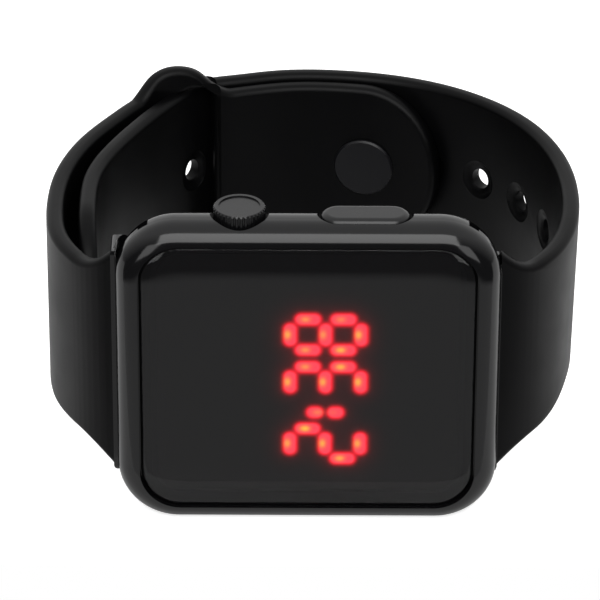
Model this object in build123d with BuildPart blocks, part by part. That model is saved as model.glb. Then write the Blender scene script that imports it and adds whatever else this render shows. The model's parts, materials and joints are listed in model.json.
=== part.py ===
"""A square LED watch on a closed silicone strap, in millimetres.

The watch stands on its 9 o'clock side. X runs from 12 o'clock to 6 o'clock, the face looks along -Y,
and Z runs up to the 3 o'clock side with its crown and button. The origin is the middle of the flat
land that the case stands on. Depths are counted from the front of the case towards the wrist.
"""

import os
from build123d import *

os.makedirs("parts", exist_ok=True)

# Case
case_width = 43.5
case_height = 38.3
case_corner = 7.0
front_round = 2.8
rest_land = 0.6
back_round = 4.6
wall_x = 4.35
wall_z = 3.55
cavity_corner = 3.4
back_wall = 1.8
overrun = 5.0
snug = 0.02
running_gap = 0.05

# Window and its tape
bezel_x = 2.7
bezel_z = 2.3
window_corner = 4.6
window_thickness = 1.4
window_proud = 0.1
window_edge_round = 0.5
window_gap = 0.15
tape_thickness = 0.2
tape_inset = 0.3

# Display, seen with the digits' tops towards 12 o'clock. Its tens are placed from the 9 o'clock wall.
filter_gap = 0.05
filter_thickness = 0.1
mask_thickness = 1.1
display_gap = 0.25
display_middle_x = 2.03
display_inset = 14.5
digit_reach = 4.02
digit_half_width = 1.98
digit_spacing = 6.17
colon_spacing = 4.02
hour_spacing = 8.14
colon_reach = 1.19
segment_length = 3.0
segment_width = 1.25
colon_length = 1.5
lens_thickness = 0.5
chip_length = 1.0
chip_width = 0.5
chip_height = 0.4

# Main board and what is soldered to it
board_thickness = 0.8
board_gap_x = 0.3
board_gap_z = 1.7
board_corner = 2.0
blob_room = 0.9
blob_height = 0.9
crystal_radius = 1.0
crystal_length = 6.0
capacitor_length = 1.6
capacitor_width = 0.8
capacitor_height = 0.7
capacitor_spacing = 2.4
capacitor_count = 3
capacitor_inset = 1.5
resistor_length = 1.0
resistor_width = 0.5
resistor_height = 0.35
resistor_spacing = 1.8
resistor_count = 3
resistor_inset = 1.7

# Battery, its holder and contacts. The cell is as wide as the cavity allows beside the switches and the
# parts at its sides.
battery_thickness = 2.5
battery_lip = 0.7
battery_step = 0.4
battery_lift = 0.65
side_room = 5.5
holder_gap = 0.1
holder_wall = 1.3
contact_thickness = 0.15
contact_width = 3.0
contact_length = 9.0
film_thickness = 0.1
film_inset = 0.6

# Back cover, its gasket and screws
ledge_x = 4.4
ledge_z = 4.8
opening_corner = 5.0
cover_lap_x = 2.5
cover_lap_z = 2.3
cover_corner = 4.0
cover_thickness = 1.0
cover_dome_inset = 0.2
cover_dome_height = 1.1
cover_dome_round = 0.9
gasket_inset = 0.35
gasket_width = 0.6
gasket_thickness = 0.4
screw_inset = 2.5
screw_radius = 0.6
screw_length = 2.3
screw_head_radius = 1.2
screw_head_height = 0.5
screw_slot_width = 0.3
screw_slot_depth = 0.25
boss_radius = 1.5
boss_length = 2.4

# Crown and button, which share their stem, seal, clip, spring and switch
control_depth = 4.5
crown_place = 7.75
crown_radius = 2.95
crown_height = 1.8
crown_rise = 0.95
crown_travel = 0.6
crown_recess_radius = 3.32
crown_face_radius = 2.35
crown_face_depth = 0.15
crown_edge = 0.2
crown_skin = 0.45
tooth_count = 36
tooth_depth = 0.16
button_place = 6.42
button_length = 10.1
button_width = 4.2
button_height = 1.35
button_rise = 0.15
button_travel = 0.5
button_recess_length = 10.9
button_recess_width = 5.0
button_dome = 0.8
button_skin = 0.45
stem_radius = 0.7
stem_tail = 1.1
stem_collar = 0.35
groove_depth = 0.2
clip_radius = 1.4
clip_thickness = 0.3
clip_opening = 0.9
clip_drop = 0.05
seal_wire = 0.28
spring_radius = 1.45
spring_wire = 0.12
spring_turns = 3
spring_room = 0.2
switch_width = 4.2
switch_height = 2.2
plunger_radius = 0.5
plunger_length = 1.7
plunger_rise = 0.9

# Strap channels and adapters. The insets are the bars' ends, counted from the case's bottom and top.
adapter_inset_low = 5.15
adapter_inset_12 = 3.65
adapter_inset_6 = 5.6
adapter_proud_12 = 0.55
adapter_proud_6 = 0.15
adapter_front = 3.0
adapter_back = 6.8
adapter_end_round = 1.0
bar_reach = 2.9
rail_depth = 4.2
rail_neck = 0.9
rail_head = 1.9
rail_head_thickness = 0.9
rail_reach = 3.6
rail_short = 2.4
channel_gap = 0.1
tongue_length = 1.7
tongue_thickness = 0.7
tongue_height = 22.0
tongue_depth = 6.1

# Strap
strap_thickness = 2.1
strap_half = 11.2
strap_root_depth = 4.4
strap_root_thickness = 2.6
flare_half = 14.2
flare_length = 4.8
reach_12 = 30.5
reach_6 = 31.7
loop_depth = 57.7
zone_depth = 18.0
layer_gap = 0.15
tail_gap = 1.65
lap_half = 10.6
ear_half = 14.25
ear_lead = 9.5
ear_trail = 2.2
slot_length = 7.5
slot_to_turn = 5.9
slot_half = 11.5
slot_corner = 0.4
slot_round = 2.6
hole_radius = 1.45
hole_spacing = 8.3
holes_towards_case = 4
holes_towards_tail = 3
dimple_radius = 2.7
dimple_depth = 0.3
slot_run = 21.3
tip_run = 10.6
tip_length = 9.3
stud_disc_radius = 3.7
stud_disc_thickness = 0.8
stud_radius = 1.4
stud_head_radius = 2.3
stud_head_rise = 0.6
stud_head_round = 0.4
stud_disc_sink = 0.3
strap_samples = 36
lap_samples = 8

# Outer line of each strap half, the hole strap's as far as its turn in through the slot. The first share
# is 0 at the case's middle, 1 at the adapter's face and 2 at the loop's furthest reach on that side. The
# second is a share of the loop's depth.
hole_strap_shares = (
    (1.265, 0.097), (1.684, 0.177), (1.949, 0.303), (2.001, 0.425), (1.894, 0.602), (1.514, 0.77),
    (0.974, 0.885), (0.637, 0.962), (0.184, 1.005), (-0.182, 1.003), (-0.43, 0.979), (-0.609, 0.955),
    (-0.762, 0.887),
)
pin_strap_shares = (
    (-1.256, 0.097), (-1.646, 0.166), (-1.902, 0.251), (-2.0, 0.355), (-1.943, 0.525), (-1.637, 0.678),
    (-1.151, 0.805), (-0.888, 0.887), (-0.71, 0.914),
)
# Tail of the hole strap inside the pin strap: shares of the pin strap's run to its lap, and of the gap
# between the two
tail_shares = (
    (0.81, 0.56), (0.751, 0.69), (0.627, 0.93), (0.487, 0.89), (0.355, 1.0), (0.206, 0.73), (0.13, 0.1),
)
# Ear outline: shares of the ear's length and of its rise above the strap's edge
ear_shares = ((0.09, 0.17), (0.19, 0.6), (0.3, 0.9), (0.5, 1.0), (0.68, 0.7), (0.85, 0.05))

# Places that follow from the sizes above
case_thickness = front_round + rest_land + back_round
front_y = -front_round - rest_land / 2
middle_z = case_height / 2
half_width = case_width / 2
cavity_width = case_width - 2 * wall_x
cavity_height = case_height - 2 * wall_z
window_width = case_width - 2 * bezel_x
window_height = case_height - 2 * bezel_z
board_width = cavity_width - 2 * board_gap_x
board_height = cavity_height - 2 * board_gap_z
opening_width = cavity_width - 2 * ledge_x
opening_height = cavity_height - 2 * ledge_z
cover_width = opening_width + 2 * cover_lap_x
cover_height = opening_height + 2 * cover_lap_z
cover_dome_radius = opening_height / 2 - cover_dome_inset
switch_room = stem_tail + plunger_rise + switch_height
holder_outer = min(cavity_height / 2 - switch_room, cavity_width / 2 - side_room)
battery_radius = holder_outer - holder_wall - holder_gap
blob_radius = (cavity_width / 2 - holder_outer) / 2 - blob_room
side_place = (cavity_width / 2 + holder_outer) / 2
cavity_top = middle_z + cavity_height / 2
cavity_depth = case_thickness - back_wall
seat_depth = window_thickness + tape_thickness
mask_front = seat_depth + filter_gap + filter_thickness
board_front = mask_front + mask_thickness
board_back = board_front + board_thickness
battery_front = board_back + battery_lift
battery_back = battery_front + battery_thickness
cover_front = case_thickness - cover_thickness
control_y = front_y + control_depth
crown_top = case_height + crown_rise
crown_bottom = crown_top - crown_height
crown_floor = crown_bottom - crown_travel - running_gap
button_top = case_height + button_rise
button_bottom = button_top - button_height
button_floor = button_bottom - button_travel - running_gap
stem_bottom = cavity_top - stem_tail
switch_top = stem_bottom - plunger_rise
adapter_faces = {-1: half_width + adapter_proud_12, 1: half_width + adapter_proud_6}
adapter_tops = {-1: case_height - adapter_inset_12, 1: case_height - adapter_inset_6}
crown_axis = (-crown_place, control_y)
button_axis = (button_place, control_y)
screw_places = GridLocations(cover_width - 2 * screw_inset, cover_height - 2 * screw_inset, 2, 2)


def front_plane(depth):
    """A plane square to the depth that looks out of the watch's face, centred on the case."""
    return Plane(origin=(0, front_y + depth, middle_z), x_dir=(1, 0, 0), z_dir=(0, -1, 0))


def save(piece, name):
    """Labels a finished piece and writes it."""
    piece.part.label = name
    export_step(piece.part, "parts/" + name + ".step")


def plate(width, height, corner, near, far):
    """A flat plate with round corners between two depths."""
    with BuildPart() as piece:
        with BuildSketch(front_plane(far)):
            RectangleRounded(width, height, corner)
        extrude(amount=far - near)
    return piece


def digit_segments(middle):
    """Places of a digit's seven segments as (x, z, along), with tops towards 12 o'clock."""
    top = display_middle_x - digit_reach
    low = display_middle_x + digit_reach
    upper = display_middle_x - digit_reach / 2
    lower = display_middle_x + digit_reach / 2
    left = middle - digit_half_width
    right = middle + digit_half_width
    return {
        "a": (top, middle, 90), "g": (display_middle_x, middle, 90), "d": (low, middle, 90),
        "f": (upper, left, 0), "b": (upper, right, 0), "e": (lower, left, 0), "c": (lower, right, 0),
    }


# Display places: plain numbers, with an unlit leading one
tens_middle = display_inset - cavity_height / 2
units_middle = tens_middle + digit_spacing
hours_middle = tens_middle - hour_spacing
ten_hours_middle = hours_middle - digit_spacing
shown_digits = (
    (units_middle, "abcdefg"), (tens_middle, "abcdg"), (hours_middle, "abdeg"), (ten_hours_middle, ""),
)
lit_places = []
unlit_places = []
for middle, lit in shown_digits:
    for letter, place in digit_segments(middle).items():
        if letter in lit:
            lit_places.append(place)
        elif middle != ten_hours_middle or letter in "bc":
            unlit_places.append(place)
colon_places = [(display_middle_x + side * colon_reach, tens_middle - colon_spacing, 0) for side in (-1, 1)]


def segment_slots(places, length, width):
    """Rounded bars at the given places in the sketch that is being built."""
    for x, z, turn in places:
        with Locations(Location((x, z), turn)):
            SlotOverall(length, width)


# Case shell
with BuildPart() as case_shell:
    with BuildSketch(front_plane(case_thickness)):
        RectangleRounded(case_width, case_height, case_corner)
    extrude(amount=case_thickness)
    fillet(case_shell.faces().sort_by(Axis.Y)[0].edges(), front_round)
    fillet(case_shell.faces().sort_by(Axis.Y)[-1].edges(), back_round)
    with BuildSketch(front_plane(seat_depth)):
        RectangleRounded(
            window_width + 2 * window_gap, window_height + 2 * window_gap, window_corner + window_gap
        )
    extrude(amount=seat_depth + overrun, mode=Mode.SUBTRACT)
    with BuildSketch(front_plane(cavity_depth)):
        RectangleRounded(cavity_width, cavity_height, cavity_corner)
    extrude(amount=cavity_depth - seat_depth, mode=Mode.SUBTRACT)
    with BuildSketch(front_plane(cavity_depth)):
        with screw_places:
            Circle(boss_radius)
    extrude(amount=boss_length - cover_front + cavity_depth)
    with BuildSketch(front_plane(cover_front)):
        RectangleRounded(opening_width, opening_height, opening_corner)
    extrude(amount=cover_front - cavity_depth, mode=Mode.SUBTRACT)
    with BuildSketch(front_plane(case_thickness)):
        RectangleRounded(cover_width + 2 * running_gap, cover_height + 2 * running_gap, cover_corner)
    extrude(amount=cover_thickness, mode=Mode.SUBTRACT)
    with BuildSketch(front_plane(cover_front)):
        RectangleRounded(
            opening_width + 2 * (gasket_inset + gasket_width),
            opening_height + 2 * (gasket_inset + gasket_width),
            opening_corner + gasket_inset + gasket_width,
        )
        RectangleRounded(
            opening_width + 2 * gasket_inset,
            opening_height + 2 * gasket_inset,
            opening_corner + gasket_inset,
            mode=Mode.SUBTRACT,
        )
    extrude(amount=gasket_thickness, mode=Mode.SUBTRACT)
    with BuildSketch(front_plane(cover_front)):
        with screw_places:
            Circle(screw_radius)
    extrude(amount=boss_length, mode=Mode.SUBTRACT)
    # Crown recess, bore and seal pocket
    with BuildSketch(Plane.XY.offset(crown_floor)):
        with Locations(crown_axis):
            Circle(crown_recess_radius)
    extrude(amount=case_height - crown_floor + overrun, mode=Mode.SUBTRACT)
    with BuildSketch(Plane.XY.offset(crown_floor)):
        with Locations(crown_axis):
            Circle(stem_radius + 2 * (seal_wire + snug))
    extrude(amount=-2 * (seal_wire + snug), mode=Mode.SUBTRACT)
    # Button recess, bore and seal pocket
    with BuildSketch(Plane.XY.offset(button_floor)):
        with Locations(button_axis):
            SlotOverall(button_recess_length, button_recess_width)
    extrude(amount=case_height - button_floor + overrun, mode=Mode.SUBTRACT)
    with BuildSketch(Plane.XY.offset(button_floor)):
        with Locations(button_axis):
            Circle(stem_radius + 2 * (seal_wire + snug))
    extrude(amount=-2 * (seal_wire + snug), mode=Mode.SUBTRACT)
    with BuildSketch(Plane.XY.offset(cavity_top - running_gap)):
        with Locations(crown_axis, button_axis):
            Circle(stem_radius + running_gap)
    extrude(amount=case_height - cavity_top, mode=Mode.SUBTRACT)
    # A channel in each end, closed towards 9 o'clock and open towards 3 o'clock
    for side in (-1, 1):
        head_x = side * (half_width - rail_reach + rail_head_thickness / 2)
        neck_x = side * (half_width - (rail_reach - overrun) / 2)
        with BuildSketch(Plane.XY.offset(adapter_inset_low)):
            with Locations((head_x, front_y + rail_depth)):
                Rectangle(rail_head_thickness + 2 * channel_gap, rail_head + 2 * channel_gap)
            with Locations((neck_x, front_y + rail_depth)):
                Rectangle(rail_reach + overrun, rail_neck + 2 * channel_gap)
        extrude(amount=case_height, mode=Mode.SUBTRACT)
save(case_shell, "case_shell")

# Window, a plate whose front edge is rounded into the gap
with BuildPart() as window:
    with BuildSketch(front_plane(window_thickness)):
        RectangleRounded(window_width, window_height, window_corner)
    extrude(amount=window_thickness + window_proud)
    fillet(window.faces().sort_by(Axis.Y)[0].edges(), window_edge_round)
save(window, "window")

# Tape that holds the window on its ledge
with BuildPart() as window_tape:
    with BuildSketch(front_plane(seat_depth)):
        RectangleRounded(
            window_width - 2 * tape_inset, window_height - 2 * tape_inset, window_corner - tape_inset
        )
        RectangleRounded(
            cavity_width + tape_inset, cavity_height + tape_inset, cavity_corner, mode=Mode.SUBTRACT
        )
    extrude(amount=tape_thickness)
save(window_tape, "window_tape")

# Red display filter behind the window
display_filter = plate(
    cavity_width - 2 * display_gap,
    cavity_height - 2 * display_gap,
    cavity_corner,
    mask_front - filter_thickness,
    mask_front,
)
save(display_filter, "display_filter")

# Segment mask, a black plate with one well for each segment
with BuildPart() as segment_mask:
    with BuildSketch(front_plane(board_front)):
        RectangleRounded(cavity_width - 2 * display_gap, cavity_height - 2 * display_gap, cavity_corner)
    extrude(amount=mask_thickness)
    with BuildSketch(front_plane(board_front)):
        segment_slots(lit_places + unlit_places, segment_length, segment_width)
        segment_slots(colon_places, colon_length, segment_width)
    extrude(amount=mask_thickness, mode=Mode.SUBTRACT)
save(segment_mask, "segment_mask")

# Light guides that fill the front of the wells, those that are lit and those that are not
with BuildPart() as lit_segments:
    with BuildSketch(front_plane(mask_front + lens_thickness)):
        segment_slots(lit_places, segment_length - 2 * snug, segment_width - 2 * snug)
        segment_slots(colon_places, colon_length - 2 * snug, segment_width - 2 * snug)
    extrude(amount=lens_thickness)
save(lit_segments, "lit_segments")

with BuildPart() as unlit_segments:
    with BuildSketch(front_plane(mask_front + lens_thickness)):
        segment_slots(unlit_places, segment_length - 2 * snug, segment_width - 2 * snug)
    extrude(amount=lens_thickness)
save(unlit_segments, "unlit_segments")

# LED chips on the board, one at the foot of each well
with BuildPart() as led_chips:
    with BuildSketch(front_plane(board_front)):
        for x, z, turn in lit_places + unlit_places + colon_places:
            with Locations(Location((x, z), turn)):
                Rectangle(chip_length, chip_width)
    extrude(amount=chip_height)
save(led_chips, "led_chips")

# Main board
main_board = plate(board_width, board_height, board_corner, board_front, board_back)
save(main_board, "main_board")

# Controller chip under a round cap of resin
with BuildPart() as controller_chip:
    with BuildSketch(front_plane(board_back + blob_height)):
        with Locations((side_place, 0)):
            Circle(blob_radius)
    extrude(amount=blob_height)
    fillet(controller_chip.faces().sort_by(Axis.Y)[-1].edges(), blob_height / 2)
save(controller_chip, "controller_chip")

# Quartz crystal in its can, lying on the board
with BuildPart() as quartz_crystal:
    with BuildSketch(Plane.XY.offset(middle_z - crystal_length / 2)):
        with Locations((-side_place, front_y + board_back + crystal_radius)):
            Circle(crystal_radius)
    extrude(amount=crystal_length)
    fillet(quartz_crystal.faces().sort_by(Axis.Z)[-1].edges(), crystal_radius / 2)
save(quartz_crystal, "quartz_crystal")

# Capacitors and resistors
with BuildPart() as capacitors:
    with BuildSketch(front_plane(board_back + capacitor_height)):
        with Locations((0, capacitor_inset - board_height / 2)):
            with GridLocations(capacitor_spacing, capacitor_spacing, capacitor_count, 1):
                Rectangle(capacitor_length, capacitor_width)
    extrude(amount=capacitor_height)
save(capacitors, "capacitors")

with BuildPart() as resistors:
    with BuildSketch(front_plane(board_back + resistor_height)):
        resistor_z = resistor_inset - board_height / 2
        with Locations((-side_place / 2, resistor_z), (side_place / 2, resistor_z)):
            with GridLocations(resistor_spacing, resistor_spacing, resistor_count, 1):
                Rectangle(resistor_length, resistor_width)
    extrude(amount=resistor_height)
save(resistors, "resistors")

# Coin cell: a can with a narrower step at its negative side
with BuildPart() as battery:
    with BuildSketch(front_plane(battery_back)):
        Circle(battery_radius)
    extrude(amount=battery_thickness - battery_step)
    with BuildSketch(front_plane(battery_back - battery_thickness + battery_step)):
        Circle(battery_radius - battery_lip)
    extrude(amount=battery_step)
save(battery, "battery")

# Battery holder, a ring on the board with a gap for the plus contact
with BuildPart() as battery_holder:
    with BuildSketch(front_plane(cavity_depth - holder_gap)):
        Circle(holder_outer)
        Circle(battery_radius + holder_gap, mode=Mode.SUBTRACT)
        with Locations((-holder_outer, 0)):
            Rectangle(holder_outer, contact_width + 2 * holder_gap, mode=Mode.SUBTRACT)
    extrude(amount=cavity_depth - holder_gap - board_back)
save(battery_holder, "battery_holder")

# Plus contact, an angle that rises beside the cell
with BuildPart() as battery_contact_plus:
    with BuildSketch(Plane.XY.offset(middle_z - contact_width / 2)):
        with Locations((-battery_radius - snug, front_y + board_back)):
            outward = (Align.MAX, Align.MIN)
            Rectangle(contact_thickness, battery_back - board_back - battery_step, align=outward)
            Rectangle(holder_wall + 2 * holder_gap, contact_thickness, align=outward)
    extrude(amount=contact_width)
save(battery_contact_plus, "battery_contact_plus")

# Minus contact, a sprung strip bowed up from the board to the cell
with BuildPart() as battery_contact_minus:
    with BuildSketch(Plane.XY.offset(middle_z - contact_width / 2)):
        with BuildLine():
            foot = (-contact_length / 2, front_y + board_back)
            crest = (0, front_y + battery_front - contact_thickness - snug)
            far_foot = (contact_length / 2, front_y + board_back)
            low = ThreePointArc(foot, crest, far_foot)
            high = ThreePointArc(
                (foot[0], foot[1] + contact_thickness),
                (crest[0], crest[1] + contact_thickness),
                (far_foot[0], far_foot[1] + contact_thickness),
            )
            Line(low @ 0, high @ 0)
            Line(low @ 1, high @ 1)
        make_face()
    extrude(amount=contact_width)
save(battery_contact_minus, "battery_contact_minus")

# Insulating film inside the back cover
with BuildPart() as battery_film:
    with BuildSketch(front_plane(cover_front)):
        Circle(battery_radius - film_inset)
    extrude(amount=film_thickness)
save(battery_film, "battery_film")

# Back gasket in its groove
with BuildPart() as back_gasket:
    with BuildSketch(front_plane(cover_front)):
        RectangleRounded(
            opening_width + 2 * (gasket_inset + gasket_width - snug),
            opening_height + 2 * (gasket_inset + gasket_width - snug),
            opening_corner + gasket_inset + gasket_width - snug,
        )
        RectangleRounded(
            opening_width + 2 * (gasket_inset + snug),
            opening_height + 2 * (gasket_inset + snug),
            opening_corner + gasket_inset + snug,
            mode=Mode.SUBTRACT,
        )
    extrude(amount=gasket_thickness)
save(back_gasket, "back_gasket")

# Back cover: a plate in the case's back with a raised round flat towards the wrist
with BuildPart() as back_cover:
    with BuildSketch(front_plane(case_thickness)):
        RectangleRounded(cover_width, cover_height, cover_corner)
    extrude(amount=cover_thickness)
    with BuildSketch(front_plane(case_thickness)):
        Circle(cover_dome_radius)
    extrude(amount=-cover_dome_height)
    fillet(back_cover.faces().sort_by(Axis.Y)[-1].edges(), cover_dome_round)
    with BuildSketch(front_plane(case_thickness)):
        with screw_places:
            Circle(screw_radius + running_gap)
    extrude(amount=cover_thickness, mode=Mode.SUBTRACT)
    with BuildSketch(front_plane(case_thickness)):
        with screw_places:
            Circle(screw_head_radius + running_gap)
    extrude(amount=screw_head_height + running_gap, mode=Mode.SUBTRACT)
save(back_cover, "back_cover")

# Four back screws, each with a straight slot
head_seat = case_thickness - screw_head_height - running_gap
with BuildPart() as back_screws:
    with BuildSketch(front_plane(head_seat + screw_head_height)):
        with screw_places:
            Circle(screw_head_radius)
    extrude(amount=screw_head_height)
    with BuildSketch(front_plane(head_seat)):
        with screw_places:
            Circle(screw_radius)
    extrude(amount=screw_length)
    with BuildSketch(front_plane(head_seat + screw_head_height)):
        with screw_places:
            Rectangle(2 * screw_head_radius, screw_slot_width)
    extrude(amount=screw_slot_depth, mode=Mode.SUBTRACT)
save(back_screws, "back_screws")


def make_stem(axis, top):
    """A stem from the switch up into its cap, with a groove for its clip."""
    with BuildPart() as piece:
        with BuildSketch(Plane.XY.offset(stem_bottom)):
            with Locations(axis):
                Circle(stem_radius)
        extrude(amount=top - stem_bottom)
        with BuildSketch(Plane.XY.offset(cavity_top - clip_drop - clip_thickness)):
            with Locations(axis):
                Circle(stem_radius + overrun)
                Circle(stem_radius - groove_depth, mode=Mode.SUBTRACT)
        extrude(amount=clip_thickness, mode=Mode.SUBTRACT)
    return piece


def make_clip(axis):
    """An open clip that stops the stem under the case wall."""
    with BuildPart() as piece:
        with BuildSketch(Plane.XY.offset(cavity_top - clip_drop - clip_thickness + snug)):
            with Locations(axis):
                Circle(clip_radius)
                Circle(stem_radius - groove_depth + snug, mode=Mode.SUBTRACT)
                with Locations((axis[0], axis[1] + clip_radius)):
                    Rectangle(clip_opening, 2 * clip_radius, mode=Mode.SUBTRACT)
        extrude(amount=clip_thickness - 2 * snug)
    return piece


def make_seal(axis, floor):
    """A round seal ring in the pocket under the cap."""
    with BuildPart() as piece:
        middle = Plane(origin=(axis[0], axis[1], floor - seal_wire - snug), x_dir=(1, 0, 0), z_dir=(0, -1, 0))
        with BuildSketch(middle):
            with Locations((stem_radius + seal_wire + snug, 0)):
                Circle(seal_wire)
        revolve(axis=Axis(origin=(axis[0], axis[1], 0), direction=(0, 0, 1)))
    return piece


def make_spring(axis, floor, ceiling):
    """A coil spring between the recess floor and the inside of the cap."""
    height = ceiling - floor - 2 * (spring_wire + snug)
    start = (axis[0], axis[1], floor + spring_wire + snug)
    with BuildPart() as piece:
        with BuildLine(Plane(origin=start)):
            path = Helix(pitch=height / spring_turns, height=height, radius=spring_radius)
        with BuildSketch(Plane(origin=path @ 0, z_dir=path % 0)):
            Circle(spring_wire)
        sweep(is_frenet=True)
    return piece


def make_switch(axis):
    """A side-pressed switch body on the board, with a guide bore for its plunger."""
    half_depth = control_depth - board_back
    with BuildPart() as piece:
        with BuildSketch(Plane.XY.offset(switch_top)):
            with Locations(axis):
                Rectangle(switch_width, 2 * half_depth)
                Circle(plunger_radius + running_gap, mode=Mode.SUBTRACT)
        extrude(amount=-plunger_length)
        with BuildSketch(Plane.XY.offset(switch_top - plunger_length)):
            with Locations(axis):
                Rectangle(switch_width, 2 * half_depth)
        extrude(amount=plunger_length - switch_height)
    return piece


def make_plunger(axis):
    """The pin that the stem presses into the switch."""
    with BuildPart() as piece:
        with BuildSketch(Plane.XY.offset(stem_bottom - plunger_length)):
            with Locations(axis):
                Circle(plunger_radius)
        extrude(amount=plunger_length)
    return piece


# Crown cap, toothed round its edge and sunk in its end face
crown_ceiling = crown_top - crown_face_depth - crown_skin
with BuildPart() as crown_cap:
    with BuildSketch(Plane.XY.offset(crown_bottom)):
        with Locations(crown_axis):
            Circle(crown_radius)
    extrude(amount=crown_height)
    chamfer(crown_cap.faces().sort_by(Axis.Z)[-1].edges(), crown_edge)
    with BuildSketch(Plane.XY.offset(crown_top)):
        with Locations(crown_axis):
            Circle(crown_face_radius)
    extrude(amount=-crown_face_depth, mode=Mode.SUBTRACT)
    with BuildSketch(Plane.XY.offset(crown_bottom)):
        with Locations(crown_axis):
            with PolarLocations(crown_radius, tooth_count):
                Circle(tooth_depth)
    extrude(amount=crown_height, mode=Mode.SUBTRACT)
    with BuildSketch(Plane.XY.offset(crown_bottom)):
        with Locations(crown_axis):
            Circle(spring_radius + spring_wire + spring_room)
            Circle(stem_radius + stem_collar, mode=Mode.SUBTRACT)
    extrude(amount=crown_ceiling - crown_bottom, mode=Mode.SUBTRACT)
    with BuildSketch(Plane.XY.offset(crown_bottom)):
        with Locations(crown_axis):
            Circle(stem_radius)
    extrude(amount=crown_ceiling - crown_bottom, mode=Mode.SUBTRACT)
save(crown_cap, "crown_cap")

crown_stem = make_stem(crown_axis, crown_ceiling)
save(crown_stem, "crown_stem")
crown_clip = make_clip(crown_axis)
save(crown_clip, "crown_clip")
crown_seal = make_seal(crown_axis, crown_floor)
save(crown_seal, "crown_seal")
crown_spring = make_spring(crown_axis, crown_floor, crown_ceiling)
save(crown_spring, "crown_spring")
crown_switch = make_switch(crown_axis)
save(crown_switch, "crown_switch")
crown_switch_plunger = make_plunger(crown_axis)
save(crown_switch_plunger, "crown_switch_plunger")

# Side button, a long pill with a crowned top
button_ceiling = button_top - button_skin
with BuildPart() as side_button:
    with BuildSketch(Plane.XY.offset(button_bottom)):
        with Locations(button_axis):
            SlotOverall(button_length, button_width)
    extrude(amount=button_height)
    fillet(side_button.faces().sort_by(Axis.Z)[-1].edges(), button_dome)
    with BuildSketch(Plane.XY.offset(button_bottom)):
        with Locations(button_axis):
            Circle(spring_radius + spring_wire + spring_room)
            Circle(stem_radius + stem_collar, mode=Mode.SUBTRACT)
    extrude(amount=button_ceiling - button_bottom, mode=Mode.SUBTRACT)
    with BuildSketch(Plane.XY.offset(button_bottom)):
        with Locations(button_axis):
            Circle(stem_radius)
    extrude(amount=button_ceiling - button_bottom, mode=Mode.SUBTRACT)
save(side_button, "side_button")

side_button_stem = make_stem(button_axis, button_ceiling)
save(side_button_stem, "side_button_stem")
side_button_clip = make_clip(button_axis)
save(side_button_clip, "side_button_clip")
side_button_seal = make_seal(button_axis, button_floor)
save(side_button_seal, "side_button_seal")
side_button_spring = make_spring(button_axis, button_floor, button_ceiling)
save(side_button_spring, "side_button_spring")
side_switch = make_switch(button_axis)
save(side_switch, "side_switch")
side_switch_plunger = make_plunger(button_axis)
save(side_switch_plunger, "side_switch_plunger")


def make_adapter(side):
    """A bar along the end of the case, with a rail in the channel and a tongue in the strap."""
    face = adapter_faces[side]
    proud = face - half_width
    length = adapter_tops[side] - adapter_inset_low
    with BuildPart() as piece:
        with BuildSketch(Plane.XY.offset(adapter_inset_low)):
            with Locations((side * face, front_y + adapter_front)):
                outward = Align.MAX if side > 0 else Align.MIN
                Rectangle(bar_reach, adapter_back - adapter_front, align=(outward, Align.MIN))
        extrude(amount=length)
        ends = piece.faces().filter_by(Axis.Z).edges()
        fillet(ends, adapter_end_round)
        # The bar's inner side follows the side of the case
        with BuildSketch() as side_section:
            with Locations((0, front_y + case_thickness / 2)):
                Rectangle(case_width + 2 * running_gap, case_thickness + 2 * running_gap)
            fillet(side_section.vertices().group_by(Axis.Y)[0], front_round)
            fillet(side_section.vertices().group_by(Axis.Y)[-1], back_round)
        extrude(amount=case_height, mode=Mode.SUBTRACT)
        with BuildSketch(Plane.XY.offset(adapter_inset_low + snug)):
            head_x = side * (half_width - rail_reach + rail_head_thickness / 2)
            with Locations((head_x, front_y + rail_depth)):
                Rectangle(rail_head_thickness, rail_head)
            neck_middle = side * (half_width - rail_reach / 2 + proud / 4)
            with Locations((neck_middle, front_y + rail_depth)):
                Rectangle(rail_reach + proud / 2, rail_neck)
        extrude(amount=length - rail_short)
        with BuildSketch(Plane.XY.offset(middle_z - tongue_height / 2)):
            tongue_middle = side * (face + tongue_length / 2 - proud / 4)
            with Locations((tongue_middle, front_y + tongue_depth)):
                Rectangle(tongue_length + proud / 2, tongue_thickness)
        extrude(amount=tongue_height)
    return piece


strap_adapter_12 = make_adapter(-1)
save(strap_adapter_12, "strap_adapter_12")
strap_adapter_6 = make_adapter(1)
save(strap_adapter_6, "strap_adapter_6")


def loop_point(across_share, depth_share):
    """A point of the loop from its two shares."""
    side = 1 if across_share > 0 else -1
    reach = reach_6 if side > 0 else reach_12
    across = min(abs(across_share), 1) * adapter_faces[side]
    across += max(abs(across_share) - 1, 0) * (reach - adapter_faces[side])
    return (side * across, front_y + depth_share * loop_depth)


def shifted(line, run, inward, turn):
    """The point at a run along a line, moved inward square to it."""
    point = line.position_at(run, position_mode=PositionMode.LENGTH)
    along = line.tangent_at(run, position_mode=PositionMode.LENGTH)
    return (point.X - turn * inward * along.Y, point.Y + turn * inward * along.X)


def strap_blank(line, side, turn):
    """The strap's plan between its outer line and its inner one, raised to the full flare."""
    first = (side * adapter_faces[side], front_y + strap_root_depth + strap_root_thickness)
    step = line.length / strap_samples
    inner_points = [first]
    for count in range(1, strap_samples + 1):
        inner_points.append(shifted(line, count * step, strap_thickness, turn))
    with BuildPart() as piece:
        with BuildSketch(Plane.XY.offset(middle_z - ear_half - flare_half)):
            with BuildLine():
                add(line)
                inner = Spline(*inner_points)
                Line(line @ 0, inner @ 0)
                Line(line @ 1, inner @ 1)
            make_face()
        extrude(amount=2 * (ear_half + flare_half))
    return piece.part


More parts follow.
